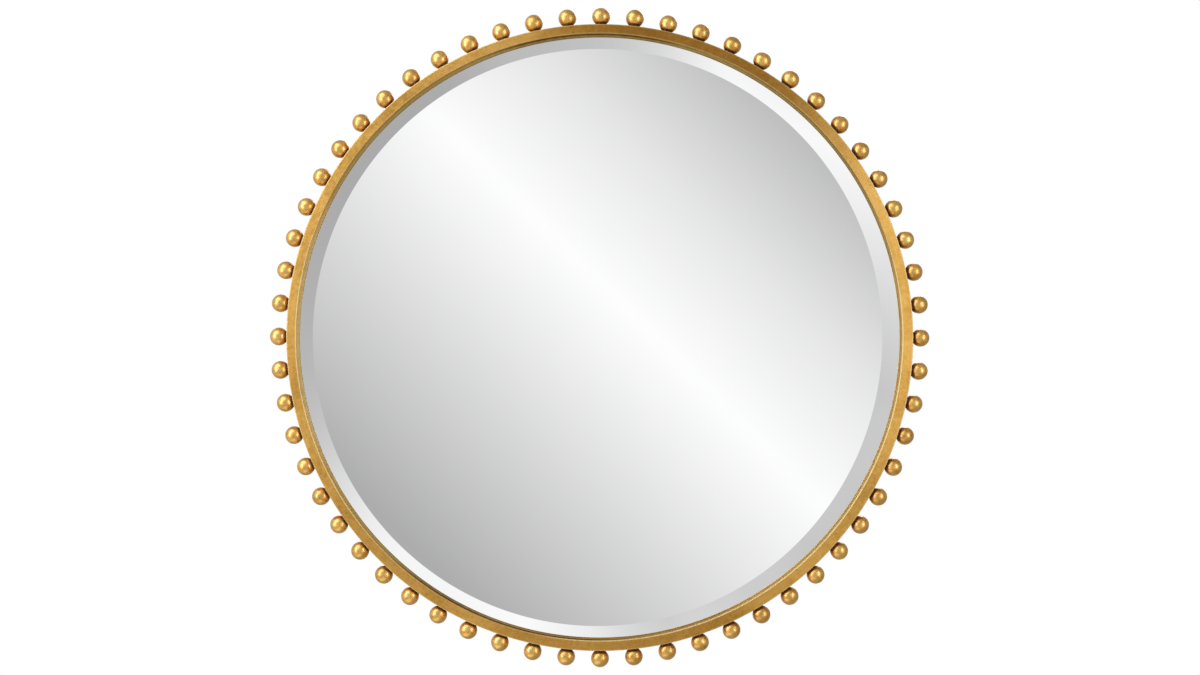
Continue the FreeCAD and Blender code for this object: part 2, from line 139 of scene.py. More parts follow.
def stretch(angle, start, end, fade):
    """1 from start to end degrees round the hoop, falling to 0 over fade degrees on either side."""
    off = np.abs((angle - (start + end) / 2 + 180.0) % 360.0 - 180.0)
    return smooth((end - start) / 2 + fade, (end - start) / 2, off)


def full_turn(count):
    """Equal steps of a full turn, in radians, as a column."""
    return np.linspace(0.0, 2 * math.pi, count, endpoint=False)[:, None]


def joined(*columns):
    """Points from their coordinates, each spread to the shape of all."""
    return np.stack(np.broadcast_arrays(*columns), axis=-1)


def quilt(points, wrap_u=False, wrap_v=False, spread=(1.0, 1.0), **marks):
    """A grid of points (rows u, columns v) as one patch of quads.

    A wrapped direction joins its last line to its first. Each corner gets its share of the way along u and v,
    times spread, as UV. Marks are numbers per point, kept as attributes of the mesh.
    """
    rows, columns = points.shape[:2]
    steps_u = rows if wrap_u else rows - 1
    steps_v = columns if wrap_v else columns - 1
    u, v = np.meshgrid(np.arange(steps_u), np.arange(steps_v), indexing="ij")
    u = joined(u, u + 1, u + 1, u).reshape(-1, 4)
    v = joined(v, v, v + 1, v + 1).reshape(-1, 4)
    return {
        "points": points.reshape(-1, 3),
        "quads": (u % rows) * columns + v % columns,
        "uv": joined(u / steps_u * spread[0], v / steps_v * spread[1]).reshape(-1, 2),
        "marks": {name: np.broadcast_to(value, (rows, columns)).ravel() for name, value in marks.items()},
    }


def make_piece(name, patches, finish, stands_for, body="mirror", crease=40.0):
    """Joins patches into one mesh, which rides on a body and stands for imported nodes.

    Equal points are merged, faces turned outwards, and edges past the crease angle kept sharp.
    """
    starts = np.cumsum([0] + [len(patch["points"]) for patch in patches])
    points = np.concatenate([patch["points"] for patch in patches]) * MM
    quads = np.concatenate([patch["quads"] + start for patch, start in zip(patches, starts)])
    mesh = bpy.data.meshes.new(name)
    mesh.vertices.add(len(points))
    mesh.vertices.foreach_set("co", points.ravel())
    mesh.loops.add(quads.size)
    mesh.loops.foreach_set("vertex_index", quads.ravel().astype(np.int32))
    mesh.polygons.add(len(quads))
    mesh.polygons.foreach_set("loop_start", np.arange(0, quads.size, 4, dtype=np.int32))
    mesh.update(calc_edges=True)
    mesh.uv_layers.new(name="wrap").data.foreach_set(
        "uv", np.concatenate([patch["uv"] for patch in patches]).ravel())
    for mark in sorted({mark for patch in patches for mark in patch["marks"]}):
        values = np.concatenate([
            patch["marks"].get(mark, np.zeros(len(patch["points"]))) for patch in patches])
        mesh.attributes.new(mark, "FLOAT", "POINT").data.foreach_set("value", values)
    shell = bmesh.new()
    shell.from_mesh(mesh)
    bmesh.ops.remove_doubles(shell, verts=shell.verts, dist=MERGE_GAP * MM)
    bmesh.ops.recalc_face_normals(shell, faces=shell.faces)
    shell.to_mesh(mesh)
    shell.free()
    mesh.shade_smooth()
    mesh.set_sharp_from_angle(angle=math.radians(crease))
    mesh.materials.append(finish)
    piece = bpy.data.objects.new(name, mesh)
    scene.collection.objects.link(piece)
    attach(piece, body)
    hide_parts(*stands_for)
    return piece


def rounded_section(corners, rounds, steps=6, hold=0.35):
    """A closed outline whose corners are arcs tangent to their two sides.

    The arc's centre lies on the corner's bisector at round / sin(half angle). A point is held a little way
    along each side from the arc, so that flat sides stay flat when shaded. Returns points and, for each,
    1 on an arc and 0 on a side.
    """
    corners = np.asarray(corners, float)
    previous = np.roll(corners, 1, 0)
    following = np.roll(corners, -1, 0)
    outline = []
    on_arc = []
    for corner, before, after, radius in zip(corners, previous, following, rounds):
        first = (before - corner) / np.linalg.norm(before - corner)
        second = (after - corner) / np.linalg.norm(after - corner)
        half = math.acos(np.clip(first @ second, -1.0, 1.0)) / 2
        bisector = (first + second) / np.linalg.norm(first + second)
        centre = corner + bisector * radius / math.sin(half)
        run = radius / math.tan(half)
        start = corner + first * run - centre
        end = corner + second * run - centre
        turn = math.pi - 2 * half
        share = np.linspace(0.0, 1.0, steps)[:, None]
        arc = centre + (np.sin((1 - share) * turn) * start + np.sin(share * turn) * end) / math.sin(turn)
        outline += [corner + first * (run + hold), *arc, corner + second * (run + hold)]
        on_arc += [0.0] + [1.0] * steps + [0.0]
    return np.array(outline), np.array(on_arc)


def turned(profile, steps, centre=(0.0, 0.0)):
    """Profile points (radius, y) carried round the Y axis: centre + radius * (sin a, cos a) in X and Z."""
    a = full_turn(steps)
    radius, y = profile[None, :, 0], profile[None, :, 1]
    return joined(centre[0] + radius * np.sin(a), y, centre[1] + radius * np.cos(a))


def spun(points, angle):
    """Points turned about the Y axis, clockwise from the top, by an angle in degrees."""
    sine, cosine = math.sin(math.radians(angle)), math.cos(math.radians(angle))
    x, y, z = points[..., 0], points[..., 1], points[..., 2]
    return joined(x * cosine + z * sine, y, z * cosine - x * sine)


def waves(seed, count, low, high):
    """Directions and phases of a few sine waves, drawn from a fixed seed."""
    draw = np.random.default_rng(seed)
    turn = draw.normal(size=(count, 3))
    turn *= (draw.uniform(low, high, count) / np.linalg.norm(turn, axis=1))[:, None]
    return turn, draw.uniform(0.0, 2 * math.pi, count)


def ripple(points, seed, count, low, high):
    """Sum of plane sine waves at each point, of about unit size: sin(k . p + phase) over several k."""
    turn, phase = waves(seed, count, low, high)
    return np.sin(points @ turn.T + phase).sum(axis=-1) / math.sqrt(count / 2)


def swept(path, side, up, section):
    """A closed section carried along a path: path + section.x * side + section.y * up at each path point."""
    return path[:, None] + section[None, :, :1] * side[:, None] + section[None, :, 1:] * up[:, None]


def headings(path):
    """The unit direction of a flat path at each of its points."""
    ahead = np.gradient(path, axis=0)
    return ahead / np.linalg.norm(ahead, axis=1)[:, None]


def capped(rows):
    """Rows of a tube with its ends drawn to their middles, which closes it."""
    first, last = rows[:1], rows[-1:]
    return np.concatenate([np.broadcast_to(first.mean(1, keepdims=True), first.shape), rows,
                           np.broadcast_to(last.mean(1, keepdims=True), last.shape)])


def circle(radius, count):
    """A ring of points (x, y)."""
    a = full_turn(count)[:, 0]
    return joined(radius * np.cos(a), radius * np.sin(a))


# Finishes

class Finish:
    """The nodes of a material, world or lamp. Inputs are numbers, colours or the outputs of other nodes."""

    def __init__(self, owner):
        """Empties the owner's nodes. A name makes a new material."""
        self.owner = bpy.data.materials.new(owner) if isinstance(owner, str) else owner
        self.owner.use_nodes = True
        self.tree = self.owner.node_tree
        self.tree.nodes.clear()
        self.place = self.add("TexCoord").outputs["Object"]

    def add(self, kind, inputs=None, **settings):
        """One node of a kind, with its settings and its inputs set or linked."""
        node = self.tree.nodes.new("ShaderNode" + kind)
        for key, value in settings.items():
            setattr(node, key, value)
        for key, value in (inputs or {}).items():
            if isinstance(value, bpy.types.NodeSocket):
                self.tree.links.new(value, node.inputs[key])
            else:
                node.inputs[key].default_value = value
        return node

    def noise(self, scale, detail=3.0, rough=0.55, place=None):
        """Noise from 0 to 1, of scale cells to the metre."""
        return self.add("TexNoise", {"Vector": place or self.place, "Scale": scale, "Detail": detail,
                                     "Roughness": rough}).outputs["Fac"]

    def stretched(self, scale, place=None):
        """A place scaled by a number for each axis."""
        return self.add("Mapping", {"Vector": place or self.place, "Scale": scale}).outputs["Vector"]

    def length(self, place):
        """The length of a vector."""
        return self.add("VectorMath", {0: place}, operation="LENGTH").outputs["Value"]

    def mark(self, name):
        """A number that the mesh holds at each point."""
        return self.add("Attribute", attribute_name=name).outputs["Fac"]

    def sums(self, kind, first, second=0.0, third=0.0):
        """One sum of numbers."""
        return self.add("Math", {0: first, 1: second, 2: third}, operation=kind).outputs[0]

    def times(self, first, second, plus=None):
        """The product of two numbers, with a third added to it."""
        if plus is None:
            return self.sums("MULTIPLY", first, second)
        return self.sums("MULTIPLY_ADD", first, second, plus)

    def spread(self, value, low, high, to_low=0.0, to_high=1.0, smoothly=False):
        """The range from low to high carried to another range, and clipped to it."""
        return self.add("MapRange", {"Value": value, "From Min": low, "From Max": high, "To Min": to_low,
                                     "To Max": to_high},
                        interpolation_type="SMOOTHSTEP" if smoothly else "LINEAR").outputs[0]

    def ramp(self, value, stops):
        """Colours at stops between 0 and 1, and straight steps between them."""
        node = self.add("ValToRGB", {"Fac": value})
        while len(node.color_ramp.elements) < len(stops):
            node.color_ramp.elements.new(0.5)
        for element, (place, colour) in zip(node.color_ramp.elements, stops):
            element.position = place
            element.color = (*colour, 1.0)
        return node.outputs["Color"]

    def mixed(self, share, first, second):
        """The first colour at share 0, the second at share 1."""
        first = first if isinstance(first, bpy.types.NodeSocket) else (*first, 1.0)
        second = second if isinstance(second, bpy.types.NodeSocket) else (*second, 1.0)
        return self.add("Mix", {0: share, 6: first, 7: second}, data_type="RGBA").outputs[2]

    def bump(self, height, strength, depth):
        """Normals of a height from 0 to 1 that stands for depth metres."""
        return self.add("Bump", {"Height": height, "Strength": strength, "Distance": depth}).outputs["Normal"]

    def done(self, colour, roughness, normal=None, metallic=0.0, **fixed):
        """The surface itself. Fixed inputs are named with _ for a space."""
        inputs = {"Base Color": colour, "Roughness": roughness, "Metallic": metallic}
        if normal is not None:
            inputs["Normal"] = normal
        inputs.update({key.replace("_", " "): value for key, value in fixed.items()})
        shader = self.add("BsdfPrincipled", inputs)
        self.add("OutputMaterial", {"Surface": shader.outputs[0]})
        return self.owner


GOLD_DEEP = (0.55, 0.28, 0.050)
GOLD_MID = (0.80, 0.445, 0.098)
GOLD_BRIGHT = (0.93, 0.60, 0.18)
GOLD_BROWN = (0.38, 0.168, 0.022)
# Pale gold of worn edges and of painted edge highlights.
GOLD_WORN_AND_GLINT = (0.97, 0.80, 0.40)
UMBER = (0.20, 0.070, 0.010)
OLIVE = (0.56, 0.40, 0.14)
SOOT = (0.045, 0.012, 0.001)
FLAT = (1.0, 0.0, 1.0)


def leaf_tone(finish, clouds, mottle, grain):
    """Gold leaf's own tone: broad clouds, small mottle and fine grain added up, from antiqued to bright."""
    tone = finish.times(clouds, 0.9, -0.45)
    tone = finish.times(mottle, 0.55, tone)
    return finish.times(grain, 0.35, tone)


def ball_gold():
    """Gilded balls: soft mottled leaf, brown pits, patina left in the weld at the foot, and painted shade on
    the lower part next to the band.
    """
    finish = Finish("gilded_ball")
    clouds = finish.noise(48.0, 2.0)
    mottle = finish.noise(230.0, 4.0, 0.6)
    grain = finish.noise(900.0, 3.0)
    tone = leaf_tone(finish, clouds, mottle, grain)
    colour = finish.ramp(tone, [(0.12, GOLD_DEEP), (0.45, GOLD_MID), (0.85, GOLD_BRIGHT)])
    pits = finish.spread(finish.noise(330.0, 2.0), 0.66, 0.74)
    colour = finish.mixed(finish.times(pits, 0.75), colour, UMBER)
    soot = finish.mark("soot")
    # Umber towards the weld: patina there, and painted shade on the ball's lower part next to the band.
    patina_and_shade = finish.spread(finish.times(mottle, 0.35, soot), 0.2, 0.75, smoothly=True)
    colour = finish.mixed(finish.times(patina_and_shade, 0.8), colour, UMBER)
    black = finish.spread(finish.times(mottle, 0.25, soot), 0.75, 1.05, smoothly=True)
    colour = finish.mixed(black, colour, SOOT)
    roughness = finish.spread(mottle, 0.3, 0.7, 0.34, 0.48)
    height = finish.times(grain, 0.3, finish.sums("SUBTRACT", mottle, pits))
    return finish.done(colour, roughness, finish.bump(height, 0.22, 0.0006), metallic=1.0, Coat_Weight=0.55,
                       Coat_Roughness=0.15)


def hoop_gold():
    """The gilded hoop: leaf laid in squares round it, fine rubbing along it, brown specks, worn edges with a
    painted highlight, and painted shade with the patina in the inner corner and in the browner gilding.
    """
    finish = Finish("gilded_hoop")
    round_hoop = finish.add("UVMap", uv_map="wrap").outputs["UV"]
    clouds = finish.noise(16.0, 2.0)
    mottle = finish.noise(170.0, 4.0, 0.62)
    along = finish.add("SeparateXYZ", {0: round_hoop}).outputs[0]
    depth = finish.add("SeparateXYZ", {0: finish.place}).outputs[1]
    reach = finish.length(finish.stretched(FLAT))
    lane = finish.add("CombineXYZ", {0: along, 1: reach, 2: depth}).outputs[0]
    rubbing = finish.noise(1.0, 3.0, 0.6, finish.stretched((16.0, 520.0, 520.0), lane))
    tone = leaf_tone(finish, clouds, mottle, rubbing)
    colour = finish.ramp(tone, [(0.15, GOLD_DEEP), (0.5, GOLD_MID), (0.95, GOLD_BRIGHT)])
    # Browner gilding where the mark says: partly antiquing and partly painted shade.
    aged = finish.times(finish.mark("aged"), finish.spread(mottle, 0.3, 0.7, 0.95, 0.65))
    colour = finish.mixed(aged, colour, GOLD_BROWN)
    lap = finish.times(finish.noise(40.0, 1.0), 0.06, finish.times(along, 34.0))
    lap = finish.sums("PINGPONG", lap, 0.5)
    lap_line = finish.spread(lap, 0.0, 0.012, 0.16, 0.0)
    colour = finish.mixed(lap_line, colour, UMBER)
    specks = finish.spread(finish.noise(240.0, 2.0), 0.70, 0.76)
    colour = finish.mixed(finish.times(specks, 0.7), colour, UMBER)
    # Pale gilding on the front edges and on the lip at the left: partly wear, partly painted highlight.
    worn = finish.mark("worn")
    bare_and_glint = finish.times(worn, finish.spread(mottle, 0.25, 0.6, 0.75, 1.0))
    colour = finish.mixed(bare_and_glint, colour, GOLD_WORN_AND_GLINT)
    # Olive, then umber, over the inner wall and the stop: patina and painted shade.
    soot = finish.times(mottle, 0.3, finish.mark("soot"))
    colour = finish.mixed(finish.spread(soot, 0.2, 0.5), colour, OLIVE)
    colour = finish.mixed(finish.spread(soot, 0.6, 1.15), colour, UMBER)
    roughness = finish.spread(mottle, 0.3, 0.7, 0.36, 0.5)
    roughness = finish.times(worn, 0.3, roughness)
    height = finish.times(rubbing, 0.4, finish.sums("SUBTRACT", mottle, specks))
    tangent = finish.add("Tangent", direction_type="RADIAL", axis="Y").outputs[0]
    firm = finish.spread(worn, 0.0, 0.3, 0.06, 0.0)
    return finish.done(colour, roughness, finish.bump(height, firm, 0.0005), metallic=1.0,
                       Anisotropic=0.75, Anisotropic_Rotation=0.25, Tangent=tangent)


def silvered_pane():
    """Silvered glass: near-perfect mirror with a breath of unevenness in its coat."""
    finish = Finish("silvered_pane")
    colour = finish.ramp(finish.noise(9.0, 2.0), [(0.3, (0.978, 0.984, 0.982)), (0.7, (0.988, 0.99, 0.989))])
    roughness = finish.spread(finish.noise(35.0, 3.0), 0.3, 0.7, 0.0, 0.012)
    return finish.done(colour, roughness, metallic=1.0)


def buff_felt():
    """Felt strip: short fibres in every direction, undyed wool."""
    finish = Finish("buff_felt")
    fibres = finish.noise(2600.0, 4.0, 0.7)
    colour = finish.ramp(fibres, [(0.3, (0.50, 0.42, 0.29)), (0.7, (0.68, 0.60, 0.45))])
    return finish.done(colour, 0.95, finish.bump(fibres, 0.6, 0.0004))


def black_rubber():
    """Moulded rubber: matt black with fine grain and a little dust."""
    finish = Finish("black_rubber")
    grain = finish.noise(1800.0, 2.0)
    dust = finish.noise(160.0, 4.0)
    colour = finish.ramp(dust, [(0.35, (0.018, 0.018, 0.019)), (0.75, (0.055, 0.054, 0.052))])
    return finish.done(colour, finish.spread(dust, 0.3, 0.7, 0.55, 0.8), finish.bump(grain, 0.25, 0.0002))


def white_foam():
    """Foam tape: closed cells over a white ground."""
    finish = Finish("white_foam")
    cells = finish.add("TexVoronoi", {"Vector": finish.place, "Scale": 1500.0}).outputs["Distance"]
    colour = finish.ramp(cells, [(0.1, (0.6, 0.6, 0.58)), (0.6, (0.8, 0.8, 0.78))])
    return finish.done(colour, 0.85, finish.bump(cells, 0.5, 0.0003))


def raw_fibreboard():
    """Raw fibreboard: pressed fibres, dark and pale shives, faint sanding, a rim scorched in cutting."""
    finish = Finish("raw_fibreboard")
    broad = finish.noise(7.0, 3.0)
    fibres = finish.noise(420.0, 5.0, 0.7)
    sanding = finish.noise(1.0, 3.0, 0.65, finish.stretched((260.0, 60.0, 9.0)))
    tone = finish.times(broad, 0.5, finish.times(fibres, 0.5, -0.1))
    tone = finish.times(sanding, 0.3, tone)
    colour = finish.ramp(tone, [(0.25, (0.135, 0.078, 0.038)), (0.5, (0.215, 0.132, 0.068)),
                                (0.8, (0.315, 0.208, 0.118))])
    level = finish.noise(1.0, 2.0, 0.5, finish.stretched((150.0, 150.0, 420.0)))
    dark_shives = finish.spread(level, 0.63, 0.70)
    colour = finish.mixed(finish.times(dark_shives, 0.6), colour, (0.075, 0.040, 0.018))
    upright = finish.noise(1.0, 2.0, 0.5, finish.stretched((380.0, 150.0, 140.0)))
    pale_shives = finish.spread(upright, 0.64, 0.71)
    colour = finish.mixed(finish.times(pale_shives, 0.6), colour, (0.45, 0.33, 0.2))
    reach = finish.length(finish.stretched(FLAT))
    scorch = finish.spread(finish.times(broad, 0.012, reach), 0.440, 0.4575)
    colour = finish.mixed(finish.times(scorch, 0.6), colour, (0.05, 0.026, 0.012))
    return finish.done(colour, finish.spread(fibres, 0.3, 0.7, 0.72, 0.9), finish.bump(fibres, 0.3, 0.0003))


def black_iron():
    """Black primer on iron: orange-peel skin with faint rubbed spots."""
    finish = Finish("black_iron")
    skin = finish.noise(700.0, 3.0)
    rubbed = finish.times(finish.spread(finish.noise(120.0, 4.0), 0.55, 0.75), 0.5)
    colour = finish.mixed(rubbed, (0.012, 0.0115, 0.011), (0.05, 0.046, 0.042))
    return finish.done(colour, finish.spread(skin, 0.3, 0.7, 0.42, 0.62), finish.bump(skin, 0.2, 0.0003))


def zinc_plate():
    """Yellow zinc plating: straw-coloured steel with greenish and rosy clouds."""
    finish = Finish("zinc_plate")
    cloud = finish.noise(350.0, 3.0)
    fine = finish.noise(2400.0, 2.0)
    colour = finish.ramp(cloud, [(0.3, (0.36, 0.33, 0.16)), (0.52, (0.55, 0.43, 0.18)),
                                 (0.8, (0.58, 0.37, 0.20))])
    return finish.done(colour, finish.spread(cloud, 0.3, 0.7, 0.28, 0.42), finish.bump(fine, 0.12, 0.0001),
                       metallic=1.0)


def nickel_plate():
    """Nickel plating on drawn steel: fine lines across and soft stains."""
    finish = Finish("nickel_plate")
    lines = finish.noise(1.0, 2.0, 0.6, finish.stretched((4200.0, 500.0, 260.0)))
    stain = finish.noise(140.0, 4.0)
    colour = finish.ramp(stain, [(0.3, (0.52, 0.50, 0.47)), (0.7, (0.66, 0.65, 0.61))])
    dulled = finish.times(stain, 0.5, finish.times(lines, 0.5))
    roughness = finish.spread(dulled, 0.3, 0.7, 0.2, 0.38)
    return finish.done(colour, roughness, finish.bump(lines, 0.08, 0.0001), metallic=1.0)


# The hoop, its balls and the pane

def hoop_marks(profile, arc, a):
    """Where the gilding is worn, dirty or brown and where light and shade are painted on it, for each angle a
    round the hoop and each profile point.

    Wear and glint: pale gilding on the front edges, partly wear and partly painted highlight, painted
    brightest
    inside at the lower right and the left, and a painted highlight on the lip at the left. Soot and shade:
    patina and painted shade over the wall and the stop, most in the corner between them, painted thickest at
    the top and the bottom, and little of it on the lip's rim at the bottom, left there as a painted pale
    fringe, and all over the left, which is painted as lit. Aged and shaded: browner gilding right of the top,
    less at the bottom, and a little at the right, at the left and left of the top, partly antiquing and
    partly painted shade.
    """
    radius, y = profile[:, 0], profile[:, 1]
    inside = radius < FACE_INNER + EDGE_ROUND + 0.1
    # Painted highlight: the inner front edge is painted paler at the lower right and the left.
    rubbed = np.maximum(stretch(a, 85.0, 180.0, 18.0), stretch(a, 238.0, 278.0, 20.0))
    front_edge = arc * smooth(FRONT_Y + 1.9, FRONT_Y + 0.8, y)
    worn = front_edge * np.where(inside, 0.35 + 0.65 * rubbed, 0.5)
    # Patina and painted shade over the inner wall and the stop, most in the corner between them.
    corner = smooth(FACE_INNER - 1.6, FACE_INNER - 0.4, radius) * smooth(STOP_BACK_Y - 0.5, STOP_FRONT_Y, y)
    soot = (0.6 + 0.4 * corner) * inside * smooth(FRONT_Y + 1.0, FRONT_Y + 2.4, y) * (1 - worn)
    # Painted shade: thickest at the top and the bottom, a little right of the top.
    thick = np.maximum(stretch(a, -12.0, 8.0, 16.0), stretch(a, 183.0, 214.0, 14.0))
    thick = np.maximum(thick, 0.4 * stretch(a, 34.0, 56.0, 16.0))
    # Less painted shade on the lip's rim at the bottom, which leaves a painted pale fringe there.
    rim = smooth(LIP_RADIUS + 2.2, LIP_RADIUS + 0.8, radius)
    # Painted light at the left: less painted shade there, and a painted highlight on the lip.
    left = stretch(a, 254.0, 288.0, 16.0)
    soot = soot * (0.4 + 0.6 * thick) * (1 - 0.75 * rim * stretch(a, 150.0, 192.0, 16.0)) * (1 - 0.7 * left)
    # Painted highlight on the lip at the left, standing in for light falling there.
    worn = worn + 0.75 * inside * smooth(STOP_FRONT_Y - 1.5, STOP_FRONT_Y - 0.3, y) * left
    # Browner gilding at these angles, partly antiquing and partly painted shade where the face looks darker.
    aged = stretch(a, 6.0, 32.0, 27.0) + 0.57 * stretch(a, 160.0, 190.0, 20.0)
    aged = aged + 0.2 * stretch(a, 88.0, 112.0, 16.0)
    aged = aged + 0.3 * (stretch(a, 264.0, 278.0, 14.0) + stretch(a, 327.0, 336.0, 12.0))
    return {"worn": worn, "soot": soot, "aged": aged}


def make_hoop(finish):
    """The hoop's whole section (band, face bar and stop, welded and gilded as one) carried round the Y axis.

    The inner edges of the face bar and the stop are a little off centre and oval, as bent and fitted by hand:
    each is moved along the radius by one wave and two waves round the hoop. The outer faces are then moved by
    about 0.05 mm by slow waves, as filing leaves them.
    """
    corners = [(HOOP_RADIUS, FRONT_Y), (HOOP_RADIUS, REAR_Y), (BAND_INNER, REAR_Y), (BAND_INNER, STOP_BACK_Y),
               (LIP_RADIUS, STOP_BACK_Y), (LIP_RADIUS, STOP_FRONT_Y), (FACE_INNER, STOP_FRONT_Y),
               (FACE_INNER, FRONT_Y)]
    rounds = [EDGE_ROUND, EDGE_ROUND, 0.2, 0.2, 0.5, 0.4, 0.4, EDGE_ROUND]
    profile, arc = rounded_section(corners, rounds)
    radius, y = profile[:, 0], profile[:, 1]
    a = np.linspace(0.0, 360.0, HOOP_STEPS, endpoint=False)[:, None]
    sine, cosine = np.sin(np.radians(a)), np.cos(np.radians(a))
    oval = np.cos(np.radians(2 * a))
    bar_edge = 0.7 * (cosine - sine - 1.0) + 0.3 * oval
    lip_edge = 0.4 * (sine + 1.0) + 0.2 * oval
    inner_edges = np.where(radius < FACE_INNER - 1.5, lip_edge, bar_edge)
    uneven = np.where(radius < FACE_INNER + 2.0, inner_edges, 0.0)
    points = turned(profile, HOOP_STEPS)
    points[..., 0] += uneven * sine
    points[..., 2] += uneven * cosine
    middle = np.array([(HOOP_RADIUS + FACE_INNER) / 2, (FRONT_Y + REAR_Y) / 2])
    spokes = (profile - middle) / np.linalg.norm(profile - middle, axis=1)[:, None]
    filing = 0.05 * ripple(points, 11, 14, 0.02, 0.09)[..., None] * turned(spokes, HOOP_STEPS)
    filed = (radius > BAND_INNER) | (y < STOP_FRONT_Y - 1.0)
    points = points + np.where(filed[None, :, None], filing, 0.0)
    points[..., 1] = np.maximum(points[..., 1], FRONT_Y)
    girth = 2 * math.pi * HOOP_RADIUS * MM
    patch = quilt(points, True, True, (girth, 0.12), **hoop_marks(profile, arc, a))
    make_piece("gilded_hoop", [patch], finish, ["hoop_band", "face_bar", "glass_stop"])


def ball_angles(node):
    """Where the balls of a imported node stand, in degrees round the hoop.

    There is one ball near each multiple of the step, midway between the ends of its points' angles.
    """
    x, _, z = node_points(node).T
    angle = np.degrees(np.arctan2(x, z)) % 360.0
    nearest = np.round(angle / BALL_STEP) % BALL_COUNT
    places = []
    for step in np.unique(nearest):
        off = (angle[nearest == step] - BALL_STEP * step + 180.0) % 360.0 - 180.0
        places.append(BALL_STEP * step + off.min() + np.ptp(off) / 2)
    return places


def ball_patch(index, angle):
    """One ball and its weld foot, turned about the radial axis and set at an angle round the hoop.

    The profile is the sphere from its outer pole to the weld, then the weld's hollow arc, then the seat on
    the band. The sphere is moved by about 0.1 mm by waves, the weld by lumps that go round it, and the seat
    follows the band. The soot-and-shade mark is patina in the weld and painted shade on the ball's lower part
    next to the band, growing towards the weld; the painted shade starts higher on the balls at the right.
    """
    lean = math.atan2(FOOT_RADIUS, WELD_DROP)
    globe = np.linspace(0.0, math.pi - lean, 30)
    hollow = np.linspace(math.pi / 2 + lean, 1.5 * math.pi, 8)[1:]
    seat_points, seat_depth = 2, 0.15
    weld_top, weld_full, above_weld = -9.0, -11.0, -6.0
    across = np.concatenate([BALL_RADIUS * np.sin(globe), FOOT_RADIUS + WELD_FILLET * np.cos(hollow),
                             [FOOT_RADIUS, 0.0]])
    height = np.concatenate([BALL_RADIUS * np.cos(globe), WELD_FILLET * np.sin(hollow) - WELD_DROP,
                             [-BALL_RISE - seat_depth] * seat_points])
    a = full_turn(48)
    draw = np.random.default_rng(300 + index)
    weld = smooth(weld_top, weld_full, height) * (height > -BALL_RISE)
    lumps = sum(size * np.sin(count * a + draw.uniform(0, 6.28))
                for count, size in ((5, 0.16), (8, 0.16), (13, 0.1)))
    across = across + weld * lumps
    local = joined(across * np.cos(a), across * np.sin(a), height)
    swell = 0.1 * ripple(local, 500 + index, 8, 0.12, 0.3) * smooth(weld_top, above_weld, height)
    local = local * (1.0 + np.minimum(swell, 0.05) / BALL_RADIUS)[..., None]
    seat = np.sqrt(HOOP_RADIUS ** 2 - local[..., 0] ** 2) - HOOP_RADIUS - BALL_RISE - seat_depth
    local[:, -seat_points:, 2] = seat[:, -seat_points:]
    # Painted shade: the dark mark starts higher on the balls at the right, on their side towards the hoop.
    soot_and_shade_top = above_weld + 1.9 * stretch(angle, 60.0, 125.0, 30.0)
    soot = np.maximum(smooth(soot_and_shade_top, weld_full, height) * 0.85, weld)
    local = local + np.array([0.0, BALL_Y, HOOP_RADIUS + BALL_RISE])
    return quilt(spun(local, angle), True, False, soot=soot)


def make_balls(finish):
    """The balls, in groups that follow each other round the rim, each where its packed ball stands."""
    for group in range(BALL_COUNT // BALL_GROUP):
        node = f"balls_{group + 1:02d}"
        patches = [ball_patch(BALL_GROUP * group + place, angle)
                   for place, angle in enumerate(ball_angles(node))]
        make_piece(f"gilded_{node}", patches, finish, [node])


def make_pane(finish):
    """The pane: flat front, straight bevel, ground edge with its corners taken off, flat back.

    The bevel's inner edge is a little oval, as grinding by hand leaves it, so that the bevel is wider at the
    sides than above and below.
    """
    arris_depth = 0.25
    bevel_end = GLASS_EDGE_Y - round(GLASS_ARRIS * BEVEL_SLOPE, 3)
    front = [(radius, GLASS_FRONT_Y) for radius in (0.0, 150.0, 300.0)]
    bevel = [(BEVEL_RADIUS, GLASS_FRONT_Y), (GLASS_RADIUS - GLASS_ARRIS, bevel_end)]
    edge = [(GLASS_RADIUS, GLASS_EDGE_Y + arris_depth), (GLASS_RADIUS, GLASS_BACK_Y - arris_depth)]
    back = [(GLASS_RADIUS - GLASS_ARRIS, GLASS_BACK_Y), (0.0, GLASS_BACK_Y)]
    points = turned(np.array(front + bevel + edge + back), HOOP_STEPS)
    points[:, len(front)] *= (BEVEL_HALF_WIDTH / BEVEL_RADIUS, 1.0, BEVEL_HALF_HEIGHT / BEVEL_RADIUS)
    points[..., 0] += GLASS_SHIFT
    return make_piece("silvered_pane", [quilt(points, True)], finish, ["mirror_glass"],
                      crease=3.0)


# What lies behind the pane

def make_felt(finish):
    """The felt strip between stop and bevel: a four-sided section round the pane, frayed by short waves."""
    inner = GLASS_RADIUS - FELT_WIDTH
    corners = [(inner, STOP_BACK_Y), (GLASS_RADIUS, STOP_BACK_Y), (GLASS_RADIUS, GLASS_EDGE_Y),
               (inner, GLASS_EDGE_Y - FELT_WIDTH * BEVEL_SLOPE)]
    section, _ = rounded_section(corners, [0.25] * 4, 4, 0.2)
    points = turned(section, HOOP_STEPS, (GLASS_SHIFT, 0.0))
    a = full_turn(HOOP_STEPS)
    short_waves = np.sin(97 * a) + np.sin(151 * a + 1.0) + np.sin(233 * a + 2.0)
    fray = np.maximum(0.07 * short_waves * (section[:, 0] < inner + 0.3), 0.0)
    points[..., 0] += fray * np.sin(a)
    points[..., 2] += fray * np.cos(a)
    make_piece("felt_strip", [quilt(points, True, True)], finish, ["felt_gasket"])


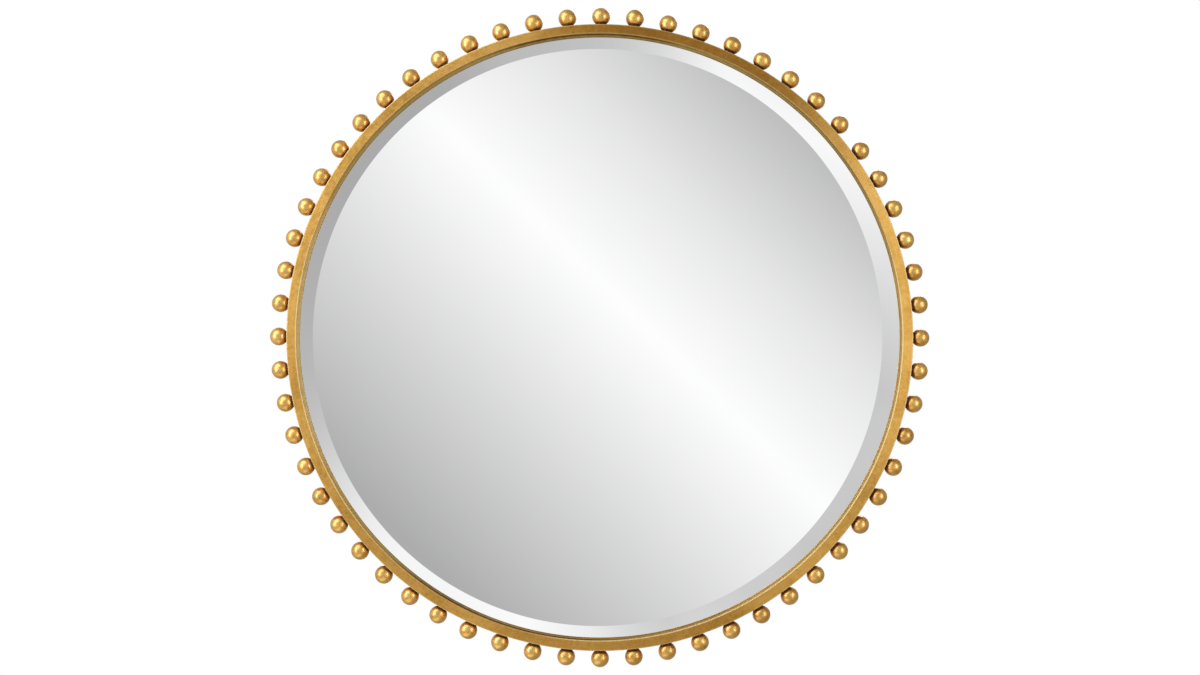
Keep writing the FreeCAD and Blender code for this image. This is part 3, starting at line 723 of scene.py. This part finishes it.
def make_setting_block(name, node, middle, finish):
    """A rubber block between the pane's edge and the band.

    A rounded section whose inner side follows the pane and whose outer side follows the band, carried
    through the angle that the block takes up, with drawn-in ends.
    """
    half = math.asin(BLOCK_HALF / BAND_INNER)
    gap = 0.05
    a = math.radians(middle) + np.linspace(-half, half, 24)
    inner = GLASS_SHIFT * np.sin(a) + np.sqrt(GLASS_RADIUS ** 2 - (GLASS_SHIFT * np.cos(a)) ** 2)
    corners = [(0.0, GLASS_EDGE_Y), (1.0, GLASS_EDGE_Y), (1.0, BOARD_FRONT_Y), (0.0, BOARD_FRONT_Y)]
    section, _ = rounded_section(corners, [0.1] * 4, 4, 0.05)
    radius = inner[:, None] + gap + section[None, :, 0] * (BAND_INNER - 2 * gap - inner[:, None])
    rows = joined(radius * np.sin(a)[:, None], section[:, 1], radius * np.cos(a)[:, None])
    make_piece(name, [quilt(capped(rows), False, True)], finish, [node])


def make_foam_pad(index, finish):
    """A foam strip, pressed between pane and board.

    A rounded section, its sides bulged by half a wave, is carried along the radius on a slow sideways wave,
    with drawn-in ends, and turned to its place.
    """
    half = PAD_HALF - 0.1
    low, high = 0.02, PAD_THICK - 0.02
    section, _ = rounded_section([(-half, low), (half, low), (half, high), (-half, high)], [0.5] * 4, 5, 0.3)
    section[:, 0] *= 1.0 + 0.006 * np.sin(np.pi * np.clip(section[:, 1] / PAD_THICK, 0, 1))
    along = np.linspace(PAD_START + 0.5, PAD_END - 0.5, 40)
    z = np.concatenate([[PAD_START + 0.05], along, [PAD_END - 0.05]])
    draw_in = np.concatenate([[0.995], np.ones(len(along)), [0.995]])
    x = section[None, :, 0] * draw_in[:, None] + 0.25 * np.sin(z / 17.0 + index)[:, None]
    rows = joined(np.clip(x, -PAD_HALF, PAD_HALF), GLASS_BACK_Y + section[:, 1], z[:, None])
    patch = quilt(capped(spun(rows, 360.0 / PAD_COUNT * index)), False, True)
    pad = make_piece(f"foam_strip_{index + 1}", [patch], finish, [f"foam_pad_{index + 1}"])


def lug_patch():
    """A lug at the top of the hoop: rings round its screw hole, out to a plate, square above and round below.

    At each angle round the hole, the plate's edge is where the ray meets the sides, the top or the round end.
    The rings go up the hole, over the face and down the plate's rounded edge.
    """
    top = LUG_TOP - LUG_SCREW
    corner = math.atan2(top, LUG_HALF)
    a = np.concatenate([np.linspace(-math.pi, 0.0, 25), np.linspace(0.0, corner, 9)[1:],
                        np.linspace(corner, math.pi - corner, 9)[1:],
                        np.linspace(math.pi - corner, math.pi, 9)[1:-1]])
    side = LUG_HALF / np.maximum(np.abs(np.cos(a)), 1e-6)
    lid = top / np.maximum(np.sin(a), 1e-6)
    edge = np.where(a <= 0, LUG_HALF, np.minimum(side, lid))[:, None]
    thick = LUG_REAR_Y - REAR_Y
    rise = thick - np.array([thick, 0.3, 0.0, 0.0, 0.0, 0.04, 0.16, 0.36, thick])
    inset = np.array([0.0, 0.0, 0.2, 2.5, 0.40, 0.2, 0.07, 0.0, 0.0])
    rings_at_hole = 4
    reach = np.where(np.arange(len(rise)) < rings_at_hole, LUG_HOLE + inset, edge - inset)
    return joined(reach * np.cos(a)[:, None], REAR_Y + rise, LUG_SCREW + reach * np.sin(a)[:, None])


def bead_patch(x, seed):
    """A weld bead up a lug's side: a flattened tube on a short straight run, rippled, with tapering ends."""
    start = np.array([x, REAR_Y + 0.1, BAND_INNER + 0.6])
    end = np.array([x, REAR_Y + 0.1, LUG_TOP - 0.1])
    t = np.linspace(0.0, 1.0, 26)[:, None]
    path = start + t * (end - start)
    size = 1.15 * np.sqrt(np.sin(np.pi * np.clip(t, 0.04, 0.96))) ** 0.8
    size = size * (1.0 + 0.12 * np.sin(10 * math.pi * t + seed) + 0.06 * np.sin(18 * math.pi * t + 2 * seed))
    side = np.array([-1.0, 0.0, 0.0])
    rear = np.array([0.0, 0.85, 0.0])
    ring = circle(1.0, 14)
    rows = path[:, None] + size[..., None] * (ring[None, :, :1] * side + ring[None, :, 1:] * rear)
    return capped(rows)


def make_lugs(finish):
    """The lugs on the band's back edge, each with a weld bead along either side."""
    bead_x = LUG_HALF + 0.2
    for index in range(LUG_COUNT):
        angle = LUG_FIRST + LUG_STEP * index
        patches = [quilt(spun(lug_patch(), angle), True, True)]
        for side, x in enumerate((-bead_x, bead_x)):
            patches.append(quilt(spun(bead_patch(x, index + side), angle), False, True))
        make_piece(f"iron_lug_{index + 1}", patches, finish, [f"lug_{index + 1}"])


def screw_patch():
    """A pan-head screw along Y, the head's underside at y = 0: a turned profile with a cross sunk in it.

    The cross is where x or z is within half its width and the radius within its length; its walls slope.
    """
    crown, rim, shank = 2.35, 0.9, 1.5
    head = crown + rim
    head_top, rim_top, thread_end, tip = 1.8, 1.69, -9.5, -11.5
    cross_depth = 1.1
    top = np.linspace(0.0, crown, 17)
    corner = np.linspace(math.pi / 2, 0.0, 6)[1:]
    radius = np.concatenate([top, crown + rim * np.cos(corner), [head, head, shank, shank, 0.0]])
    y = np.concatenate([head_top - 0.02 * top ** 2, rim_top - rim + rim * np.sin(corner),
                        [0.5, 0.0, 0.0, thread_end, tip]])
    a = full_turn(64)
    x, z = radius * np.cos(a), radius * np.sin(a)
    narrow = np.minimum(np.abs(x), np.abs(z))
    sunk = smooth(0.62, 0.36, narrow) * smooth(2.0, 1.6, radius) * (0.55 + 0.45 * smooth(1.8, 0.2, radius))
    level = y - cross_depth * sunk * (np.arange(len(radius)) < len(top))
    return joined(x, level, z)


def make_screws(finish):
    """The lug screws and the strap screws, each turned by its own angle as a hand leaves it."""
    draw = np.random.default_rng(77)
    blank = screw_patch()
    on_lug = np.array([0.0, LUG_REAR_Y, LUG_SCREW])
    patches = []
    for index in range(LUG_COUNT):
        screw = spun(blank, draw.uniform(0, 90)) + on_lug
        patches.append(quilt(spun(screw, LUG_FIRST + LUG_STEP * index), True))
    make_piece("lug_screw_set", patches, finish, ["lug_screws"], crease=50.0)
    patches = []
    for x in (-HINGE_X, HINGE_X):
        for z in STRAP_SCREWS:
            patches.append(quilt(spun(blank, draw.uniform(0, 90)) + np.array([x, STRAP_REAR_Y, z]), True))
    make_piece("strap_screw_set", patches, finish, ["hanger_screws"], crease=50.0)


def make_strap(name, node, x, finish):
    """A hanger strap: a flat strip folded round the ring's bar, its two leaves together below.

    The path (y, height over the hinge) goes up the front leaf, round the loop, back in by a reverse bend and
    down the rear leaf. The strip's rounded section is carried along it, level across.
    """
    front_leaf = REAR_Y + STRAP_HALF_THICK
    rear_leaf = front_leaf + 2 * STRAP_HALF_THICK
    leaf_top = -20.0
    loop, bend, lean = HINGE_Y - front_leaf, 1.5, 55.0
    slant = math.radians(lean)
    t = np.radians(np.linspace(0.0, 180.0 + lean, 40))
    turn = joined(HINGE_Y - loop * np.cos(t), loop * np.sin(t))
    run = (turn[-1, 0] - rear_leaf - bend * (1 - math.cos(slant))) / math.sin(slant)
    into = turn[-1] - run * np.array([math.sin(slant), math.cos(slant)])
    b = np.linspace(slant, 0.0, 10)
    centre = into + bend * np.array([math.cos(slant), -math.sin(slant)])
    curve = joined(centre[0] - bend * np.cos(b), centre[1] + bend * np.sin(b))
    up_front = [(front_leaf, STRAP_FOOT), (front_leaf, STRAP_FOOT + 1.0), (front_leaf, leaf_top)]
    down_rear = [(rear_leaf, leaf_top), (rear_leaf, STRAP_FOOT + 1.0), (rear_leaf, STRAP_FOOT)]
    path = np.concatenate([up_front, turn, curve, down_rear])
    ahead = headings(path)
    line = joined(x, path[:, 0], path[:, 1] + HINGE_Z)
    side = joined(np.ones(len(path)), 0.0, 0.0)
    up = joined(0.0, -ahead[:, 1], ahead[:, 0])
    half, thick = STRAP_HALF, STRAP_HALF_THICK
    corners = [(-half, -thick), (half, -thick), (half, thick), (-half, thick)]
    section, _ = rounded_section(corners, [0.22] * 4, 4, 0.1)
    patch = quilt(capped(swept(line, side, up, section)), False, True)
    make_piece(name, [patch], finish, [node])


def make_ring(name, node, body, x, finish):
    """A D-ring of round wire: a straight bar in the loop, two small corners, two legs and a half circle.

    The wire's circle is carried along that flat path, from end to end of the wire, which nearly meet in the
    middle of the bar, and the whole is tilted about the bar to hang at rest.
    """
    wire_end, bar_point = 0.3, 4.0
    b = np.linspace(math.pi / 2, 0.0, 9)
    bow = np.linspace(0.0, -math.pi, 49)
    right = joined(RING_HALF - RING_CORNER + RING_CORNER * np.cos(b), RING_CORNER * (np.sin(b) - 1.0))
    round_end = joined(RING_HALF * np.cos(bow), RING_HALF * np.sin(bow) - RING_LEG)
    path = np.concatenate([[(wire_end, 0.0), (bar_point, 0.0)], right, round_end, right[::-1] * (-1, 1),
                           [(-bar_point, 0.0), (-wire_end, 0.0)]])
    ahead = headings(path)
    line = joined(path[:, 0], 0.0, path[:, 1])
    side = joined(ahead[:, 1], 0.0, -ahead[:, 0])
    up = joined(0.0, np.ones(len(path)), 0.0)
    rows = swept(line, side, up, circle(RING_WIRE, 24))
    sine, cosine = math.sin(RING_TILT), math.cos(RING_TILT)
    tilted = joined(rows[..., 0] + x, HINGE_Y + rows[..., 1] * cosine - rows[..., 2] * sine,
                    HINGE_Z + rows[..., 1] * sine + rows[..., 2] * cosine)
    make_piece(name, [quilt(capped(tilted), False, True)], finish, [node], body)


def make_bumper(index, finish):
    """A rubber bumper: a cone's frustum with a rounded rim and a shallow dished face, turned about Y."""
    foot_radius, shoulder, rim_width, rim_depth = 6.95, 5.28, 0.98, 0.86
    foot = [(0.0, REAR_Y), (foot_radius - 0.35, REAR_Y), (foot_radius, REAR_Y + 0.25)]
    share = np.linspace(0.0, 1.0, 7)
    rim = joined(shoulder - rim_width * share, -rim_depth + rim_depth * np.sin(share * math.pi / 2))
    dish = [(3.6, 0.0), (2.6, -0.35), (0.0, -0.4)]
    a = math.radians(45.0 + 360.0 / BUMPER_COUNT * index)
    centre = (BUMPER_CIRCLE * math.sin(a), BUMPER_CIRCLE * math.cos(a))
    points = turned(np.concatenate([foot, rim, dish]), 48, centre)
    make_piece(f"rubber_bumper_{index + 1}", [quilt(points, True)], finish,
               [f"bumper_{index + 1}"])


def make_mirror():
    """All the pieces, each with its finish. Returns the pane."""
    make_hoop(hoop_gold())
    make_balls(ball_gold())
    pane = make_pane(silvered_pane())
    make_felt(buff_felt())
    rubber = black_rubber()
    for side, middle in (("left", 200.0), ("right", 160.0)):
        make_setting_block(f"rubber_block_{side}", f"setting_block_{side}", middle, rubber)
    foam = white_foam()
    for index in range(PAD_COUNT):
        make_foam_pad(index, foam)
    make_lugs(black_iron())
    make_screws(zinc_plate())
    nickel = nickel_plate()
    for side, x in (("left", -HINGE_X), ("right", HINGE_X)):
        make_strap(f"folded_strap_{side}", f"hanger_strap_{side}", x, nickel)
        make_ring(f"wire_ring_{side}", f"d_ring_{side}", f"{side}_ring", x, nickel)
    for index in range(BUMPER_COUNT):
        make_bumper(index, rubber)
    board = frame["nodes"]["backing_board"].data
    board.materials.clear()
    board.materials.append(raw_fibreboard())
    return pane


# The stage, in metres

SLANT = round(math.sin(math.radians(45.0)), 4)
BAND_LEVELS = [(-0.50, 0.55), (-0.39, 0.93), (-0.355, 0.97), (-0.30, 0.84), (-0.21, 0.44), (-0.136, 0.42),
               (-0.06, 0.70), (0.0185, 1.0), (0.077, 0.80), (0.136, 0.53), (0.20, 0.44), (0.29, 0.71),
               (0.38, 0.955), (0.50, 0.57)]
RIGHT_LEVELS = [(-0.24, 1.0), (-0.19, 0.92), (-0.096, 0.62), (0.0, 0.56), (0.096, 0.56), (0.186, 0.66),
                (0.264, 0.76)]
LEFT_LEVELS = [(-0.36, 0.42), (-0.264, 0.46), (-0.096, 0.41), (0.0, 0.41), (0.096, 0.42), (0.186, 0.50),
               (0.264, 0.52)]
WALL_TONES = [(0.05, (0.72, 0.70, 0.66)), (0.35, (0.50, 0.49, 0.46)), (0.95, (0.40, 0.39, 0.36))]
SHEET_TONE = (0.45, 0.44, 0.42)
WHITE = (1.0, 1.0, 1.0)
DAYLIGHT = (0.90, 1.0, 1.30)
CLOTH_FADE = 0.18
SOFTBOXES = [
    ("softbox_left", (-2.05, -1.3, 0.5), (0.7, 2.6), 26.0),
    ("softbox_right", (1.8, -1.75, 0.28), (0.5, 2.3), 18.5),
    ("softbox_above", (-1.3, -1.1, 1.98), (2.6, 1.3), 21.5),
    ("softbox_rear", (0.8, 2.4, 1.4), (1.2, 1.2), 10.0),
    ("softbox_low", (-0.45, -0.6, -1.25), (1.5, 0.8), 2.3),
]
FLOOR_RADIUS = 0.9
FLOOR_Z = -0.66
CAMERA_PLACE = (0.0004, -3.0312, 0.0)
CAMERA_LENS_MM = 61.73


def level_ramp(studio, place, levels):
    """Grey levels along a line on the board, from pairs of a place between -0.5 and 0.5 and its level."""
    stops = [(at + 0.5, (grey, grey, grey)) for at, grey in levels]
    return studio.ramp(studio.spread(place, -0.5, 0.5), stops)


def board_light(studio, across, up):
    """A large board in front of the mirror, lit in diagonal bands, which the pane and its bevel reflect.

    The levels change from the lower left to the upper right. Towards the upper left and the lower right,
    the bands give way to flanks with levels of their own.
    """
    rising = studio.times(studio.sums("ADD", up, across), SLANT)
    falling = studio.times(studio.sums("SUBTRACT", up, across), SLANT)
    below = studio.sums("MAXIMUM", studio.times(rising, -1.0), 0.0)
    slid = studio.times(below, 0.45, falling)
    left = studio.spread(slid, -0.05, 0.05)
    slid = studio.times(left, studio.spread(rising, -0.1, 0.1, 0.012, 0.055), slid)
    edge = studio.spread(studio.sums("ABSOLUTE", slid), 0.15, 0.42, smoothly=True)
    right_flank = level_ramp(studio, rising, RIGHT_LEVELS)
    left_flank = level_ramp(studio, rising, LEFT_LEVELS)
    flank = studio.mixed(left, right_flank, left_flank)
    return studio.mixed(edge, level_ramp(studio, rising, BAND_LEVELS), flank)


def wall_light(studio, x, y, z):
    """The studio's walls by direction: pale at the left, grey behind the mirror, with soft slanting bands."""
    walls = studio.ramp(studio.spread(x, -1.0, 1.0), WALL_TONES)
    walls = studio.mixed(studio.spread(y, 0.9, 0.96, smoothly=True), walls, SHEET_TONE)
    wave = studio.sums("SINE", studio.times(studio.sums("ADD", x, z), 17.0))
    glow = studio.spread(wave, -1.0, 1.0, 0.66, 1.34)
    return studio.add("VectorMath", {0: walls, "Scale": glow}, operation="SCALE").outputs[0]


def make_world():
    """White to camera and transmission rays. Others see a studio: a board before the mirror, and walls."""
    scene.world = bpy.data.worlds.new("studio")
    studio = Finish(scene.world)
    way = studio.add("SeparateXYZ", {0: studio.add("TexCoord").outputs["Generated"]})
    x, y, z = way.outputs[0], way.outputs[1], way.outputs[2]
    ahead = studio.sums("MAXIMUM", studio.times(y, -1.0), 0.05)
    across = studio.sums("DIVIDE", x, ahead)
    up = studio.sums("DIVIDE", z, ahead)
    far = studio.sums("SQRT", studio.times(across, across, studio.times(up, up)))
    past_board = studio.spread(far, 0.48, 0.75, smoothly=True)
    room = studio.mixed(past_board, board_light(studio, across, up), wall_light(studio, x, y, z))
    path = studio.add("LightPath")
    shown = studio.sums("MAXIMUM", path.outputs["Is Camera Ray"], path.outputs["Is Transmission Ray"])
    background = studio.add("Background", {"Color": studio.mixed(shown, room, WHITE)})
    studio.add("OutputWorld", {"Surface": background.outputs[0]})


def lamp_targets(pane):
    """What the lamps light: all but the pane, which shows the studio's soft bands alone."""
    targets = bpy.data.collections.new("lamp_targets")
    targets.objects.link(pane)
    targets.collection_objects[0].light_linking.link_state = "EXCLUDE"
    return targets


def make_softbox(name, place, size, power, targets):
    """A rectangular daylight lamp that faces the mirror's middle, its cloth darker towards all four sides.

    The cloth's gain gives back the light that the darker sides hold in.
    """
    lamp = bpy.data.lights.new(name, "AREA")
    lamp.shape = "RECTANGLE"
    lamp.size, lamp.size_y = size
    lamp.energy = power
    lamp.color = DAYLIGHT
    cloth = Finish(lamp)
    spot = cloth.add("SeparateXYZ", {0: cloth.add("NewGeometry").outputs["Parametric"]})
    fall = []
    for axis in (0, 1):
        from_side = cloth.sums("PINGPONG", spot.outputs[axis], 0.5)
        fall.append(cloth.spread(from_side, 0.0, CLOTH_FADE, smoothly=True))
    gain = round(1.0 / (1.0 - CLOTH_FADE) ** 2, 3)
    glow = cloth.times(cloth.times(*fall), gain)
    cloth.add("OutputLight", {"Surface": cloth.add("Emission", {"Strength": glow}).outputs[0]})
    holder = bpy.data.objects.new(name, lamp)
    holder.location = place
    holder.rotation_euler = (-holder.location).to_track_quat("-Z", "Y").to_euler()
    holder.visible_camera = False
    holder.light_linking.receiver_collection = targets
    scene.collection.objects.link(holder)


def floor_finish():
    """Pale plaster that fades, towards its edge, to white for a camera above it and to clear otherwise."""
    finish = Finish("pale_floor")
    far = finish.length(finish.stretched((1.0, 1.0, 0.0)))
    fade = finish.spread(far, 0.3, 0.85, smoothly=True)
    plaster = finish.ramp(finish.noise(60.0), [(0.3, (0.88, 0.86, 0.79)), (0.7, (0.92, 0.90, 0.83))])
    ground = finish.add("BsdfDiffuse", {"Color": plaster})
    above = finish.sums("SUBTRACT", 1.0, finish.add("NewGeometry").outputs["Backfacing"])
    seen = finish.times(finish.add("LightPath").outputs["Is Camera Ray"], above)
    backdrop = finish.add("MixShader", {0: seen, 1: finish.add("BsdfTransparent").outputs[0],
                                        2: finish.add("Emission").outputs[0]})
    blend = finish.add("MixShader", {0: fade, 1: ground.outputs[0], 2: backdrop.outputs[0]})
    finish.add("OutputMaterial", {"Surface": blend.outputs[0]})
    return finish.owner


def make_floor(finish):
    """A pale round floor below the mirror: rings of points at one height."""
    a = full_turn(96)
    radius = np.linspace(0.0, FLOOR_RADIUS, 12)[None, :]
    patch = quilt(joined(radius * np.sin(a), radius * np.cos(a), FLOOR_Z), True)
    mesh = bpy.data.meshes.new("pale_floor")
    mesh.from_pydata(patch["points"].tolist(), [], patch["quads"].tolist())
    mesh.materials.append(finish)
    floor = bpy.data.objects.new("pale_floor", mesh)
    floor.visible_glossy = False
    scene.collection.objects.link(floor)


def make_camera():
    """The camera, straight in front of the mirror's middle."""
    lens = bpy.data.cameras.new("camera")
    lens.lens = CAMERA_LENS_MM
    camera = bpy.data.objects.new("camera", lens)
    camera.location = CAMERA_PLACE
    camera.rotation_euler = (math.pi / 2, 0.0, 0.0)
    scene.collection.objects.link(camera)
    scene.camera = camera


lit = lamp_targets(make_mirror())
make_world()
for name, place, size, power in SOFTBOXES:
    make_softbox(name, place, size, power, lit)
make_floor(floor_finish())
make_camera()
scene.view_settings.view_transform = "Standard"
